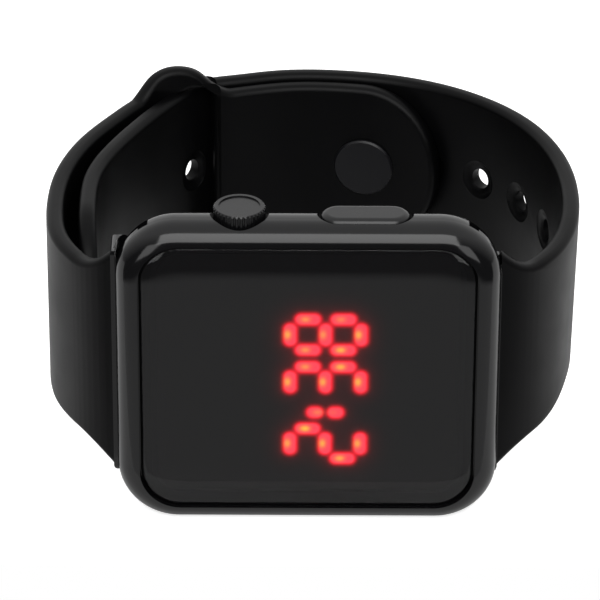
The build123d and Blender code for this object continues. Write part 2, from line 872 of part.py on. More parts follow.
def front_profile(side):
    """The part of the front view that the flared root keeps."""
    root = side * (adapter_faces[side] - overrun)
    flare_start = side * adapter_faces[side]
    flare_end = side * (adapter_faces[side] + flare_length)
    far = side * (reach_6 + overrun)
    with BuildSketch(front_plane(zone_depth)) as profile:
        with BuildLine():
            Line((root, 0), (root, flare_half))
            Line((root, flare_half), (flare_start, flare_half))
            Spline((flare_start, flare_half), (flare_end, strap_half), tangents=((side, -2), (side, 0)))
            Line((flare_end, strap_half), (far, strap_half))
            Line((far, strap_half), (far, 0))
            mirror(about=Plane.XZ)
        make_face()
    return profile.sketch_local


# Lines of the two straps. The hole strap's runs from 6 o'clock round the back to its turn in.
with BuildLine():
    hole_start = (adapter_faces[1], front_y + strap_root_depth)
    hole_lead = Spline(hole_start, *[loop_point(*share) for share in hole_strap_shares])
slot_end_run = hole_lead.length - slot_to_turn
stud_run = slot_end_run - slot_run

# The pin strap's runs from 12 o'clock to its slot and on, inside the hole strap, to its round tip
lap_step = (slot_run + tip_run) / lap_samples
lap_runs = [slot_end_run - count * lap_step for count in range(lap_samples + 1)]
lap_points = [shifted(hole_lead, run, strap_thickness + layer_gap, 1) for run in lap_runs]
with BuildLine():
    pin_start = (-adapter_faces[-1], front_y + strap_root_depth)
    pin_outer = Spline(pin_start, *[loop_point(*share) for share in pin_strap_shares], *lap_points)
slot_end = lap_points[0][0]
slot_start = slot_end - slot_length
ear_start = slot_end - ear_lead
ear_end = slot_end + ear_trail
tip_x = lap_points[-1][0]

# The hole strap's tail goes on inside the pin strap
lap_start = pin_outer.length - slot_run - tip_run
tail_points = []
for run_share, gap_share in tail_shares:
    inward = strap_thickness + gap_share * tail_gap
    tail_points.append(shifted(pin_outer, run_share * lap_start, inward, -1))
tail_end = pin_outer.tangent_at(tail_shares[-1][0] * lap_start, position_mode=PositionMode.LENGTH)
with BuildLine() as hole_line:
    add(hole_lead)
    Spline(hole_lead @ 1, *tail_points, tangents=(hole_lead % 1, tail_end * -1))
hole_outer = hole_line.wire()
tail_y = tail_points[-1][1]


def hole_plane(run):
    """A plane on the hole strap's outer face that looks away from the wrist."""
    point = hole_outer.position_at(run, position_mode=PositionMode.LENGTH)
    along = hole_outer.tangent_at(run, position_mode=PositionMode.LENGTH)
    outward = (along.Y, -along.X, 0)
    return Plane(origin=(point.X, point.Y, middle_z), x_dir=(0, 0, 1), z_dir=outward)


hole_steps = range(-holes_towards_case, holes_towards_tail + 1)
hole_planes = [hole_plane(stud_run + step * hole_spacing) for step in hole_steps]

# Hole strap
with BuildPart() as hole_strap:
    add(strap_blank(hole_outer, 1, 1))
    with BuildSketch(front_plane(zone_depth)):
        Rectangle(4 * reach_6, 4 * (ear_half + flare_half))
        add(front_profile(1), mode=Mode.SUBTRACT)
        with Locations((-adapter_faces[-1] - reach_12 / 2, 0)):
            Rectangle(reach_12, 2 * strap_half, mode=Mode.SUBTRACT)
    extrude(amount=zone_depth + overrun, mode=Mode.SUBTRACT)
    with BuildSketch(front_plane(zone_depth)):
        Rectangle(4 * reach_6, 4 * (ear_half + flare_half))
        Rectangle(4 * reach_6, 2 * strap_half, mode=Mode.SUBTRACT)
    extrude(amount=-loop_depth, mode=Mode.SUBTRACT)
    for plane in hole_planes:
        with BuildSketch(plane.offset(overrun / 4)):
            Circle(hole_radius)
        extrude(amount=-strap_thickness - overrun / 2, mode=Mode.SUBTRACT)
        with BuildSketch(plane.offset(-dimple_depth)):
            Circle(dimple_radius)
        extrude(amount=overrun / 4, mode=Mode.SUBTRACT)
        with BuildSketch(plane.offset(dimple_depth - strap_thickness)):
            Circle(dimple_radius)
        extrude(amount=-overrun / 4, mode=Mode.SUBTRACT)
    with BuildSketch(Plane.XY.offset(middle_z - tongue_height / 2)):
        with Locations((adapter_faces[1] + tongue_length / 2, front_y + tongue_depth)):
            Rectangle(tongue_length, tongue_thickness)
    extrude(amount=tongue_height, mode=Mode.SUBTRACT)
    # The tail's end is fully round
    with BuildSketch(Plane.YZ):
        with Locations((tail_y + strap_half, middle_z)):
            Rectangle(strap_half + overrun, 2 * (strap_half + overrun), align=(Align.MAX, Align.CENTER))
            Circle(strap_half, mode=Mode.SUBTRACT)
    extrude(amount=-reach_12, mode=Mode.SUBTRACT)
save(hole_strap, "hole_strap")

# Pin strap, with its ears, slot and narrow lap
with BuildSketch(front_plane(zone_depth)) as back_profile:
    with BuildLine():
        far = -reach_12 - overrun
        rise = ear_half - strap_half
        crest = [(ear_start + x * (ear_end - ear_start), strap_half + z * rise) for x, z in ear_shares]
        Line((far, 0), (far, strap_half))
        Line((far, strap_half), (ear_start, strap_half))
        Spline((ear_start, strap_half), *crest, (ear_end, lap_half), tangents=((1, 0), (1, 0)))
        Line((ear_end, lap_half), (tip_x - tip_length, lap_half))
        EllipticalCenterArc((tip_x - tip_length, 0), tip_length, lap_half, arc_size=90)
        mirror(about=Plane.XZ)
    make_face()

disc_seat = 2 * strap_thickness + layer_gap - stud_disc_sink
with BuildPart() as pin_strap:
    add(strap_blank(pin_outer, -1, -1))
    with BuildSketch(front_plane(zone_depth)):
        Rectangle(4 * reach_6, 4 * (ear_half + flare_half))
        add(front_profile(-1), mode=Mode.SUBTRACT)
    extrude(amount=zone_depth + overrun, mode=Mode.SUBTRACT)
    with BuildSketch(front_plane(zone_depth)):
        Rectangle(4 * reach_6, 4 * (ear_half + flare_half))
        add(back_profile.sketch_local, mode=Mode.SUBTRACT)
    extrude(amount=-loop_depth, mode=Mode.SUBTRACT)
    with BuildSketch(front_plane(loop_depth + overrun)) as slot:
        with Locations(((slot_start + slot_end) / 2, 0)):
            Rectangle(slot_length, 2 * slot_half)
        fillet(slot.vertices().group_by(Axis.X)[0], slot_round)
        fillet(slot.vertices().group_by(Axis.X)[-1], slot_corner)
    extrude(amount=loop_depth / 2, mode=Mode.SUBTRACT)
    with BuildSketch(hole_plane(stud_run).offset(-strap_thickness)):
        Circle(stud_radius + snug)
    extrude(amount=-strap_thickness - overrun, mode=Mode.SUBTRACT)
    with BuildSketch(hole_plane(stud_run).offset(-disc_seat)):
        Circle(stud_disc_radius + snug)
    extrude(amount=-overrun, mode=Mode.SUBTRACT)
    with BuildSketch(Plane.XY.offset(middle_z - tongue_height / 2)):
        with Locations((-adapter_faces[-1] - tongue_length / 2, front_y + tongue_depth)):
            Rectangle(tongue_length, tongue_thickness)
    extrude(amount=tongue_height, mode=Mode.SUBTRACT)
save(pin_strap, "pin_strap")

# Stud: a disc on the wrist side with a shaft through both layers, and a head outside
with BuildPart() as stud_base:
    with BuildSketch(hole_plane(stud_run).offset(-disc_seat)):
        Circle(stud_disc_radius)
    extrude(amount=-stud_disc_thickness)
    chamfer(stud_base.faces().sort_by(Axis.Y)[0].edges(), stud_disc_thickness / 4)
    with BuildSketch(hole_plane(stud_run).offset(-disc_seat)):
        Circle(stud_radius)
    extrude(amount=disc_seat - dimple_depth + snug)
save(stud_base, "stud_base")

with BuildPart() as stud_head:
    with BuildSketch(hole_plane(stud_run).offset(snug - dimple_depth)):
        Circle(stud_head_radius)
    extrude(amount=dimple_depth + stud_head_rise)
    fillet(stud_head.faces().sort_by(Axis.Y)[-1].edges(), stud_head_round)
save(stud_head, "stud_head")
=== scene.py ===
import json
from math import cos, hypot, pi, radians, sin

import bpy
import numpy as np
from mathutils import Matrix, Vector


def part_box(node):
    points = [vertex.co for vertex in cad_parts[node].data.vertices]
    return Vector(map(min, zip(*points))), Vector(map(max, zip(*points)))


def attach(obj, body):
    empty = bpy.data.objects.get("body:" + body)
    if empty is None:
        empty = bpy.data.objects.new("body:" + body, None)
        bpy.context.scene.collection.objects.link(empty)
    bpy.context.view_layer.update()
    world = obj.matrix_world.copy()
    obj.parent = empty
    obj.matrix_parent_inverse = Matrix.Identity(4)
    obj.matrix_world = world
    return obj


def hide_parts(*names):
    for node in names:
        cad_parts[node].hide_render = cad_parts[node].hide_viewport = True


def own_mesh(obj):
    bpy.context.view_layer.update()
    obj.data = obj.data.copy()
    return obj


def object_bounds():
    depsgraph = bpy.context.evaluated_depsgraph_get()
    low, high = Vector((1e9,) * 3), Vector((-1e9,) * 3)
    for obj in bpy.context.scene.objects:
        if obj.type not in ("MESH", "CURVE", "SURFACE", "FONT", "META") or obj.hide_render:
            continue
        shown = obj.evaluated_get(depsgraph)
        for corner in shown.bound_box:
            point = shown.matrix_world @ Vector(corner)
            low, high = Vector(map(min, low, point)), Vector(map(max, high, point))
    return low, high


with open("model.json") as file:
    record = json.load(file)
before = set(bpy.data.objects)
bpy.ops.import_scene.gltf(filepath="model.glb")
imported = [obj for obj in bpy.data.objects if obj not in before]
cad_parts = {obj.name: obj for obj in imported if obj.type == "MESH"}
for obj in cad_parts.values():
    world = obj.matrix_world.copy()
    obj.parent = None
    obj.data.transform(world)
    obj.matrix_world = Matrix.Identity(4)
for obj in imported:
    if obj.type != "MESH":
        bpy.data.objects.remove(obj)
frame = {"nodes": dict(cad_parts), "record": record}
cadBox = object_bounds()
mm = 0.001
nodes = frame["nodes"]
windowLow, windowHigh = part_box("window")
caseLow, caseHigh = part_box("case_shell")
middle = (windowLow + windowHigh) / 2
faceY = caseLow.y
print("stage: frame loaded, case", [round(v, 5) for v in caseHigh - caseLow])

# Materials, all procedural in object coordinates. A look names what differs from the plain one.
plainLook = {
    "metallic": 0.0, "ior": 1.5, "specular": 0.5, "alpha": 1.0,
    "coat": 0.0, "coatRoughness": 0.05, "sheen": 0.0, "sheenRoughness": 0.5,
    "blotch": 120.0, "blotchDetail": 4.0, "blotchFrom": 0.3, "blotchTo": 0.7,
    "vary": 0.08, "roughVary": 0.12,  # how far the blotches change colour and roughness
    "grain": 4000.0, "grainDetail": 2.0, "bump": 0.0, "bumpHeight": 0.02,
    "glow": None, "glowStrength": 1.0,
}
lookSockets = {
    "Metallic": "metallic", "IOR": "ior", "Specular IOR Level": "specular", "Alpha": "alpha",
    "Coat Weight": "coat", "Coat Roughness": "coatRoughness",
    "Sheen Weight": "sheen", "Sheen Roughness": "sheenRoughness",
}
looks = {
    "case_black": {
        "color": (0.003, 0.003, 0.0034), "roughness": 0.12, "blotch": 90.0, "specular": 0.38,
    },
    "control_black": {
        "color": (0.003, 0.003, 0.0034), "roughness": 0.27, "blotch": 90.0, "specular": 0.42,
    },
    "window_smoke": {
        "color": (0.002, 0.002, 0.0025), "roughness": 0.045, "alpha": 0.56, "blotch": 60.0,
        "specular": 0.5,
    },
    "filter_red": {"color": (0.05, 0.002, 0.003), "roughness": 0.3},
    "mask_black": {"color": (0.008, 0.008, 0.008), "roughness": 0.6},
    "lit_red": {
        "color": (0.8, 0.1, 0.05), "roughness": 0.4, "glow": (1.0, 0.25, 0.06),
        "glowStrength": 3.0,
    },
    "unlit_red": {"color": (0.02, 0.006, 0.006), "roughness": 0.5},
    "chip_cream": {"color": (0.72, 0.66, 0.5), "roughness": 0.45},
    "board_green": {"color": (0.012, 0.1, 0.04), "roughness": 0.35, "vary": 0.2, "coat": 0.3},
    "resin_black": {"color": (0.01, 0.01, 0.01), "roughness": 0.2},
    "capacitor_tan": {"color": (0.38, 0.26, 0.15), "roughness": 0.45},
    "resistor_black": {"color": (0.02, 0.02, 0.022), "roughness": 0.4},
    "bright_steel": {"color": (0.6, 0.6, 0.59), "roughness": 0.25, "metallic": 1.0},
    "back_steel": {
        "color": (0.45, 0.45, 0.45), "roughness": 0.35, "metallic": 1.0, "bump": 0.1,
    },
    "spring_steel": {"color": (0.5, 0.5, 0.49), "roughness": 0.3, "metallic": 1.0},
    "contact_gold": {"color": (0.72, 0.52, 0.2), "roughness": 0.28, "metallic": 1.0},
    "switch_plastic": {"color": (0.03, 0.03, 0.034), "roughness": 0.5, "bump": 0.1},
    "holder_plastic": {"color": (0.045, 0.045, 0.05), "roughness": 0.5, "bump": 0.1},
    "tape_black": {
        "color": (0.003, 0.003, 0.003), "roughness": 0.8, "bump": 0.2, "specular": 0.06,
    },
    "film_clear": {"color": (0.5, 0.5, 0.42), "roughness": 0.25, "alpha": 0.5},
    "seal_rubber": {"color": (0.015, 0.015, 0.015), "roughness": 0.6},
    "strap_silicone": {
        "color": (0.001, 0.001, 0.0012), "roughness": 0.4, "bump": 0.12, "specular": 0.11,
    },
    "stud_black": {"color": (0.005, 0.005, 0.006), "roughness": 0.3, "specular": 0.28},
}
softControls = ("crown_cap", "side_button")  # a little less glossy than the case


def emptyMaterial(name):
    material = bpy.data.materials.new(name)
    material.use_nodes = True
    material.node_tree.nodes.clear()
    return material, material.node_tree


def shaderNode(tree, kind, place, values=None):
    made = tree.nodes.new(kind)
    made.location = place
    for name, value in (values or {}).items():
        made.inputs[name].default_value = value
    return made


def colourRamp(tree, place, stops):
    # A ramp node with a colour at each stop
    ramp = shaderNode(tree, "ShaderNodeValToRGB", place)
    for spot, color in stops[1:-1]:
        ramp.color_ramp.elements.new(spot)
    for element, (spot, color) in zip(ramp.color_ramp.elements, stops):
        element.position = spot
        element.color = (*color, 1)
    return ramp


def makeMaterial(name, look):
    look = {**plainLook, **look}
    material, tree = emptyMaterial(name)
    output = shaderNode(tree, "ShaderNodeOutputMaterial", (700, 0))
    surface = shaderNode(
        tree, "ShaderNodeBsdfPrincipled", (400, 0),
        {socket: look[key] for socket, key in lookSockets.items()},
    )
    tree.links.new(surface.outputs[0], output.inputs[0])
    place = shaderNode(tree, "ShaderNodeTexCoord", (-900, 0))
    blotch = shaderNode(
        tree, "ShaderNodeTexNoise", (-650, 150),
        {"Scale": look["blotch"], "Detail": look["blotchDetail"]},
    )
    tree.links.new(place.outputs["Object"], blotch.inputs["Vector"])
    # Colour varies a little with the blotches
    tint = shaderNode(tree, "ShaderNodeMixRGB", (-300, 250), {
        "Color1": [c * (1 - look["vary"]) for c in look["color"]] + [1],
        "Color2": [min(1, c * (1 + look["vary"])) for c in look["color"]] + [1],
    })
    tree.links.new(blotch.outputs["Fac"], tint.inputs["Fac"])
    tree.links.new(tint.outputs["Color"], surface.inputs["Base Color"])
    # So does roughness
    rough = shaderNode(tree, "ShaderNodeMapRange", (-300, 0), {
        "From Min": look["blotchFrom"],
        "From Max": look["blotchTo"],
        "To Min": look["roughness"] * (1 - look["roughVary"]),
        "To Max": look["roughness"] * (1 + look["roughVary"]),
    })
    tree.links.new(blotch.outputs["Fac"], rough.inputs["Value"])
    tree.links.new(rough.outputs["Result"], surface.inputs["Roughness"])
    # Fine grain as a bump
    if look["bump"]:
        grain = shaderNode(
            tree, "ShaderNodeTexNoise", (-650, -200),
            {"Scale": look["grain"], "Detail": look["grainDetail"]},
        )
        bump = shaderNode(
            tree, "ShaderNodeBump", (0, -250),
            {"Strength": look["bump"], "Distance": look["bumpHeight"] * mm},
        )
        tree.links.new(place.outputs["Object"], grain.inputs["Vector"])
        tree.links.new(grain.outputs["Fac"], bump.inputs["Height"])
        tree.links.new(bump.outputs["Normal"], surface.inputs["Normal"])
    if look["glow"]:
        surface.inputs["Emission Color"].default_value = [*look["glow"], 1]
        surface.inputs["Emission Strength"].default_value = look["glowStrength"]
    return material


def dress(piece, look):
    piece.data.materials.clear()
    piece.data.materials.append(materials[look])


materials = {slot: makeMaterial(slot, look) for slot, look in looks.items()}
slotOf = {entry["node"]: entry["material_slot"] for entry in frame["record"]["subparts"]}
for name, node in nodes.items():
    dress(node, "control_black" if name in softControls else slotOf[name])
print("stage: materials on", len(nodes), "nodes")

# Straps, in millimetres. They are made flat, with X as the run from the adapter and Z as the
# height, and then bent. Points of each line are [across, behind the case's front].
strapPlan = {
    "thickness": 2.1, "half": 11.2, "layerGap": 0.15,
    "edgeRound": 0.8, "edgeSteps": 3, "weld": 0.001, "flatAngle": 0.1, "smoothAngle": 40,
    "flareHalf": 14.2, "flareLength": 4.8, "flareSwell": 0.35,  # the wide root at the adapter
    "rootReach": 3.0, "rootDepth": 14, "trimDepth": 12,  # depths behind the case's front
    "backDepth": 40,  # behind this, a line runs across the back of the loop
    "column": 0.9, "guideStep": 6, "onMiddle": 0.01,
    "cutterSides": 40, "cutPast": 0.4,
}
holeStrapPlan = {
    "face": 21.9,
    "line": [
        (21.9, 4.4), (24.5, 5.6), (28.5, 10.2), (31.1, 17.5), (31.8, 24.5), (30.85, 34.74),
        (27.05, 44.45), (21.32, 51.06), (13.94, 55.53), (4.04, 57.97), (-4.06, 57.86),
        (-9.59, 56.46), (-13.57, 55.11), (-17.0, 51.2), (-19.6, 47.0), (-21.2, 44.0),
        (-24.2, 37.6), (-26.4, 30.4), (-26.8, 23.0), (-26.4, 15.0), (-25.8, 11.0),
    ],
    "endSteps": 24,
    "holeSpacing": 8.3, "holesBefore": 4, "holesAfter": 3, "studRun": 68.4,
    # A hole's outline from its waist to its rim: [radius, depth in the strap's face]
    "dish": [(1.34, 0.9), (1.38, 0.42), (1.65, 0.24), (2.15, 0.11), (2.65, 0.03), (3.0, -0.3)],
    # Runs between which the strap leans, and how far its lower edge goes up and in
    "lean": {"from": 3.0, "to": 64.0, "ease": 14.0, "lift": 1.5, "pull": 0.44},
}
pinStrapPlan = {
    "face": 22.3,
    "line": [
        (-22.3, 4.4), (-24.4, 5.6), (-27.6, 9.6), (-29.7, 14.5), (-30.5, 20.5),
        (-30.03, 30.32), (-27.52, 39.1), (-23.54, 46.45), (-19.81, 51.17), (-15.84, 52.72),
    ],
    "slotRun": 21.3, "tipRun": 10.6,  # both from the stud
    "lapPoints": 8, "lapHalf": 10.6, "tipLength": 9.3, "tipStart": 0.02, "tipTurn": 3,
    # The ears beside the slot: [share of their length, share of their height]
    "ear": [
        (0.0, 0.0), (0.09, 0.34), (0.19, 0.74), (0.3, 0.95), (0.5, 1.0), (0.68, 0.76),
        (0.85, 0.12),
    ],
    "earHalf": 14.25, "earLead": 9.8, "earTrail": 2.2, "earRunOut": 2.0,
    "slotLength": 4.8, "slotHalf": 11.5,
    "slotRound": 2.6, "slotRoundSteps": 8, "slotCorner": 0.4, "slotCornerSteps": 3,
    "discRadius": 3.72, "discSink": 0.3, "shaftRadius": 1.42,
}
half = strapPlan["half"]
thick = strapPlan["thickness"]


def pickOnly(*picked):
    # Selects these objects alone, the first one active
    bpy.ops.object.select_all(action="DESELECT")
    for piece in picked:
        piece.select_set(True)
    bpy.context.view_layer.objects.active = picked[0]


def placeInMesh(body):
    # The selected body's place, turn and size go into its mesh
    bpy.ops.object.transform_apply(location=True, rotation=True, scale=True)
    return body


def facesOut():
    # In edit mode: all faces point outwards
    bpy.ops.mesh.select_all(action="SELECT")
    bpy.ops.mesh.normals_make_consistent(inside=False)


def bareCurve(dimensions):
    # A curve that has no spline yet
    bpy.ops.object.select_all(action="DESELECT")
    bpy.ops.curve.primitive_bezier_circle_add(radius=1, location=(0, 0, 0))
    made = bpy.context.object
    made.data.dimensions = dimensions
    made.data.splines.clear()
    return made


def addSpline(curve, spots):
    spline = curve.splines.new("POLY")
    spline.points.add(len(spots) - 1)
    for point, spot in zip(spline.points, spots):
        point.co = (*spot, 1)
    return spline


def lineThrough(points, perSpan=60):
    # A smooth line through the points, with its running length
    spots = np.array(points, dtype=float)
    steps = np.hypot(*np.diff(spots, axis=0).T)
    place = np.r_[0, np.cumsum(steps)]

    def endSlope(where, chosen):
        fits = [np.polyfit(place[chosen], spots[chosen, k], 3) for k in (0, 1)]
        return np.array([np.polyval(np.polyder(fit), where) for fit in fits])

    count = len(spots)
    grid = np.zeros((count, count))
    right = np.zeros((count, 2))
    grid[0, 0] = grid[-1, -1] = 1
    right[0] = endSlope(place[0], slice(0, 4))
    right[-1] = endSlope(place[-1], slice(count - 4, count))
    for i in range(1, count - 1):
        before, after = steps[i - 1], steps[i]
        grid[i, i - 1:i + 2] = after, 2 * (before + after), before
        right[i] = 3 * (
            after * (spots[i] - spots[i - 1]) / before
            + before * (spots[i + 1] - spots[i]) / after
        )
    slopes = np.linalg.solve(grid, right)
    line = []
    for i in range(count - 1):
        for t in np.arange(perSpan) / perSpan:
            line.append(
                (2 * t**3 - 3 * t**2 + 1) * spots[i]
                + (t**3 - 2 * t**2 + t) * steps[i] * slopes[i]
                + (3 * t**2 - 2 * t**3) * spots[i + 1]
                + (t**3 - t**2) * steps[i] * slopes[i + 1]
            )
    line.append(spots[-1])
    line = np.array(line)
    return line, np.r_[0, np.cumsum(np.hypot(*np.diff(line, axis=0).T))]


def spotOn(line, runs, run, inward=0.0):
    # The point at a run along the line, moved square to it
    def along(where, k):
        return np.interp(where, runs, line[:, k])

    near = 0.05
    ahead = [along(run + near, k) - along(run - near, k) for k in (0, 1)]
    size = hypot(*ahead)
    return along(run, 0) - inward * ahead[1] / size, along(run, 1) + inward * ahead[0] / size


def runAt(line, runs, x):
    # The run where the back part of the line crosses x
    back = line[:, 1] > strapPlan["backDepth"]
    return float(np.interp(x, line[back][:, 0], runs[back]))


def arcSpots(centre, radius, start, stop, count):
    turns = [radians(start + (stop - start) * i / count) for i in range(count + 1)]
    return [(centre[0] + radius * cos(a), centre[1] + radius * sin(a)) for a in turns]


def flareHeight(x, face):
    # Half height of the root, widest at the adapter
    t = min(max((abs(x) - face) / strapPlan["flareLength"], 0), 1)
    rise = strapPlan["flareHalf"] - half
    return half + rise * (1 - t) ** 2 * (1 + strapPlan["flareSwell"] * t)


def outlineOfHole(line, runs):
    # Half heights of the hole strap: flared root, plain band and round end
    length = runs[-1]
    cuts = int(length / strapPlan["column"])
    spots = [(-strapPlan["rootReach"], strapPlan["flareHalf"])]
    for i in range(cuts + 1):
        run = i * (length / cuts)
        if run < length - half:
            x, y = spotOn(line, runs, run)
            atRoot = y < strapPlan["rootDepth"] and x > 0
            spots.append((run, flareHeight(x, holeStrapPlan["face"]) if atRoot else half))
    return spots + arcSpots((length - half, 0), half, 90, 0, holeStrapPlan["endSteps"])


def outlineOfPin(line, runs, slotEnd, tipX):
    # Half heights of the pin strap: flared root, plain middle, ears and narrow lap
    plan = pinStrapPlan
    lap = plan["lapHalf"]
    earStart, earEnd = slotEnd - plan["earLead"], slotEnd + plan["earTrail"]
    rise = plan["earHalf"] - half
    ear = lineThrough([
        (earStart - plan["earRunOut"], half),
        *[(earStart + a * (earEnd - earStart), half + b * rise) for a, b in plan["ear"]],
        (earEnd, lap),
        (earEnd + plan["earRunOut"], lap),
    ])[0]
    length = runs[-1]
    cuts = int(length / strapPlan["column"])
    spots = [(-strapPlan["rootReach"], strapPlan["flareHalf"])]
    for i in range(2 * cuts + 1):
        run = i * length / cuts / 2
        x, y = spotOn(line, runs, run)
        if x > tipX - plan["tipLength"]:
            break
        if y < strapPlan["rootDepth"]:
            z = flareHeight(x, plan["face"])
        elif x < earStart:
            z = half
        elif x < earEnd:
            z = float(np.interp(x, ear[:, 0], ear[:, 1]))
        else:
            z = lap
        spots.append((run, z))
    tipFrom = spots[-1][0] + plan["tipStart"]
    turns = [radians(a) for a in range(plan["tipTurn"], 91, plan["tipTurn"])]
    return spots + [(tipFrom + (length - tipFrom) * sin(a), lap * cos(a)) for a in turns]


def halfLoop(heights):
    # A closed loop from (run, half height) spots, over the top and back along the bottom. A
    # spot on the middle line is used once.
    below = [(run, -z) for run, z in reversed(heights) if z > strapPlan["onMiddle"]]
    return heights + below


def flatOutline(loops, inward):
    # A plate with round edges from flat loops, in X and Z, its outer face on Y = 0
    made = bareCurve("2D")
    made.data.fill_mode = "BOTH"
    for loop in loops:
        addSpline(made.data, [(x, z, 0) for x, z in loop]).use_cyclic_u = True
    made.data.extrude = thick / 2 - strapPlan["edgeRound"]
    made.data.bevel_depth = strapPlan["edgeRound"]
    made.data.bevel_resolution = strapPlan["edgeSteps"]
    made.data.offset = -strapPlan["edgeRound"]
    bpy.ops.object.convert(target="MESH")
    made = bpy.context.object
    bpy.ops.object.mode_set(mode="EDIT")
    bpy.ops.mesh.select_all(action="SELECT")
    bpy.ops.mesh.remove_doubles(threshold=strapPlan["weld"])
    bpy.ops.mesh.dissolve_limited(angle_limit=radians(strapPlan["flatAngle"]))
    facesOut()
    bpy.ops.object.mode_set(mode="OBJECT")
    made.rotation_euler = (radians(90), 0, 0)
    made.location = (0, inward * thick / 2, 0)
    return placeInMesh(made)


def lathedCutter(profile, runs):
    # A round cutter from (radius, y) rings, copied to each run along the strap
    (radius, start), *rest = profile
    bpy.ops.object.select_all(action="DESELECT")
    bpy.ops.mesh.primitive_circle_add(
        vertices=strapPlan["cutterSides"], radius=radius, fill_type="NGON"
    )
    first = bpy.context.object
    first.location = (0, start, 0)
    first.rotation_euler = (radians(90), 0, 0)
    placeInMesh(first)
    bpy.ops.object.mode_set(mode="EDIT")
    bpy.ops.mesh.select_all(action="SELECT")
    for (r0, y0), (r1, y1) in zip(profile, rest):
        bpy.ops.mesh.extrude_region_move(TRANSFORM_OT_translate={"value": (0, y1 - y0, 0)})
        bpy.ops.transform.resize(value=(r1 / r0, 1, r1 / r0), center_override=(0, y1, 0))
    facesOut()
    bpy.ops.object.mode_set(mode="OBJECT")
    copies = []
    for run in runs:
        copy = first.copy()
        copy.data = first.data.copy()
        copy.location = (run, 0, 0)
        bpy.context.scene.collection.objects.link(copy)
        copies.append(copy)
    bpy.data.objects.remove(first)
    pickOnly(*copies)
    if len(copies) > 1:
        bpy.ops.object.join()
    return placeInMesh(bpy.context.object)


def cutWith(body, cutter):
    cut = body.modifiers.new("cut", "BOOLEAN")
    cut.operation = "DIFFERENCE"
    cut.solver = "EXACT"
    cut.object = cutter
    pickOnly(body)
    bpy.ops.object.modifier_apply(modifier=cut.name)
    bpy.data.objects.remove(cutter)


def splitColumns(body, length):
    # Cuts across the strap, so that it bends smoothly
    pickOnly(body)
    bpy.ops.object.mode_set(mode="EDIT")
    cuts = int(length / strapPlan["column"])
    for i in range(1, cuts):
        bpy.ops.mesh.select_all(action="SELECT")
        bpy.ops.mesh.bisect(plane_co=(i * length / cuts, 0, 0), plane_no=(1, 0, 0))
    bpy.ops.object.mode_set(mode="OBJECT")


def leanRoot(body, plan):
    # The strap's 6 o'clock half leans: its lower edge stands higher and further in
    for vertex in body.data.vertices:
        run, height = vertex.co.x, vertex.co.z
        begun = min(max((run - plan["from"]) / plan["ease"], 0), 1)
        left = min(max((plan["to"] - run) / plan["ease"], 0), 1)
        share = begun * left
        share = share * share * (3 - 2 * share)
        low = (half - height) / (2 * half)
        vertex.co.z += share * low * plan["lift"]
        vertex.co.y += share * low * plan["pull"]


def bendAlong(body, line):
    # Bends the flat strap along its line
    every = strapPlan["guideStep"]
    spots = line[::every]
    if (len(line) - 1) % every:
        spots = np.vstack([spots, line[-1:]])
    guide = bareCurve("2D")
    guide.data.fill_mode = "NONE"
    addSpline(guide.data, [(x, y, 0) for x, y in spots])
    bend = body.modifiers.new("bend", "CURVE")
    bend.object = guide
    bend.deform_axis = "POS_X"
    pickOnly(body)
    bpy.ops.object.modifier_apply(modifier=bend.name)
    bpy.data.objects.remove(guide)


def trimRoot(body, face, side):
    # Cuts the root off square at the adapter's face
    bpy.ops.object.mode_set(mode="EDIT")
    bpy.ops.mesh.select_all(action="DESELECT")
    bpy.ops.object.mode_set(mode="OBJECT")
    for vertex in body.data.vertices:
        vertex.select = vertex.co.y < strapPlan["trimDepth"]
    bpy.ops.object.mode_set(mode="EDIT")
    bpy.ops.mesh.bisect(
        plane_co=(side * face, 0, 0), plane_no=(-side, 0, 0), use_fill=True, clear_outer=True
    )
    facesOut()
    bpy.ops.object.mode_set(mode="OBJECT")


def finishStrap(body, name):
    # Puts the strap in its place and shades it smooth but for its sharp edges
    body.scale = (mm, mm, mm)
    body.location = (middle.x, faceY, middle.z)
    placeInMesh(body)
    bpy.ops.object.shade_smooth_by_angle(angle=radians(strapPlan["smoothAngle"]))
    weigh = body.modifiers.new("weigh", "WEIGHTED_NORMAL")
    weigh.keep_sharp = True
    bpy.ops.object.modifier_apply(modifier=weigh.name)
    body.name = name
    dress(body, "strap_silicone")
    box = [round(v, 5) for v in body.dimensions]
    print("stage:", name, len(body.data.polygons), "faces, box", box)


# Hole strap, with soft dished rims on both faces of its holes
holeLine, holeRuns = lineThrough(holeStrapPlan["line"])
holePlaces = [
    holeStrapPlan["studRun"] + k * holeStrapPlan["holeSpacing"]
    for k in range(-holeStrapPlan["holesBefore"], holeStrapPlan["holesAfter"] + 1)
]
dish = holeStrapPlan["dish"]
holeStrap = flatOutline([halfLoop(outlineOfHole(holeLine, holeRuns))], 1)
cutWith(holeStrap, lathedCutter(dish[::-1] + [(r, thick - y) for r, y in dish], holePlaces))
splitColumns(holeStrap, holeRuns[-1])
leanRoot(holeStrap, holeStrapPlan["lean"])
bendAlong(holeStrap, holeLine)
trimRoot(holeStrap, holeStrapPlan["face"], 1)
finishStrap(holeStrap, "holeStrapPiece")
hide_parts("hole_strap")
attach(holeStrap, "strap_loop")

